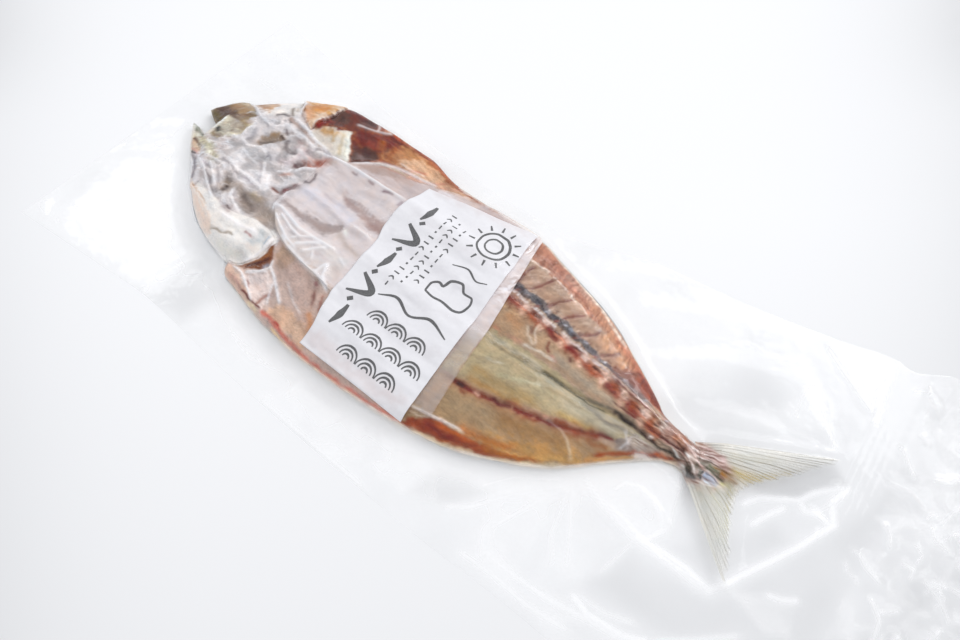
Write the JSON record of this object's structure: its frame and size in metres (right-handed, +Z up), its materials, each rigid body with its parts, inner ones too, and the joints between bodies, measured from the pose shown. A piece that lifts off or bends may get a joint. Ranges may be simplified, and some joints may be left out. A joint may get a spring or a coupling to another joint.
{
  "type": "dried mackerel scad in a vacuum pouch",
  "caption": "Belly-opened dried mackerel scad lying flat, sealed under vacuum in a clear film pouch with a paper label under the film.",
  "frame": {"origin": "middle of the pouch's bounding box, on the flat back that it rests on", "axes": "+X along the fish from snout to tail, +Y towards the half that keeps the backbone, +Z up from the table"},
  "size_m": [0.3856, 0.1776, 0.013],
  "materials": {
    "clear_film": "clear, glossy, wrinkled",
    "milky_sheet": "translucent, soft folds",
    "fish_flesh": "dried, satin, fibrous",
    "fish_skin": "silvery, satin",
    "tail_fin": "dry, thin, rayed",
    "paper_label": "matt white paper",
    "label_ink": "grey print"
  },
  "bodies": {
    "root": {"sealed_pouch": "clear_film"}
  },
  "joints": []
}
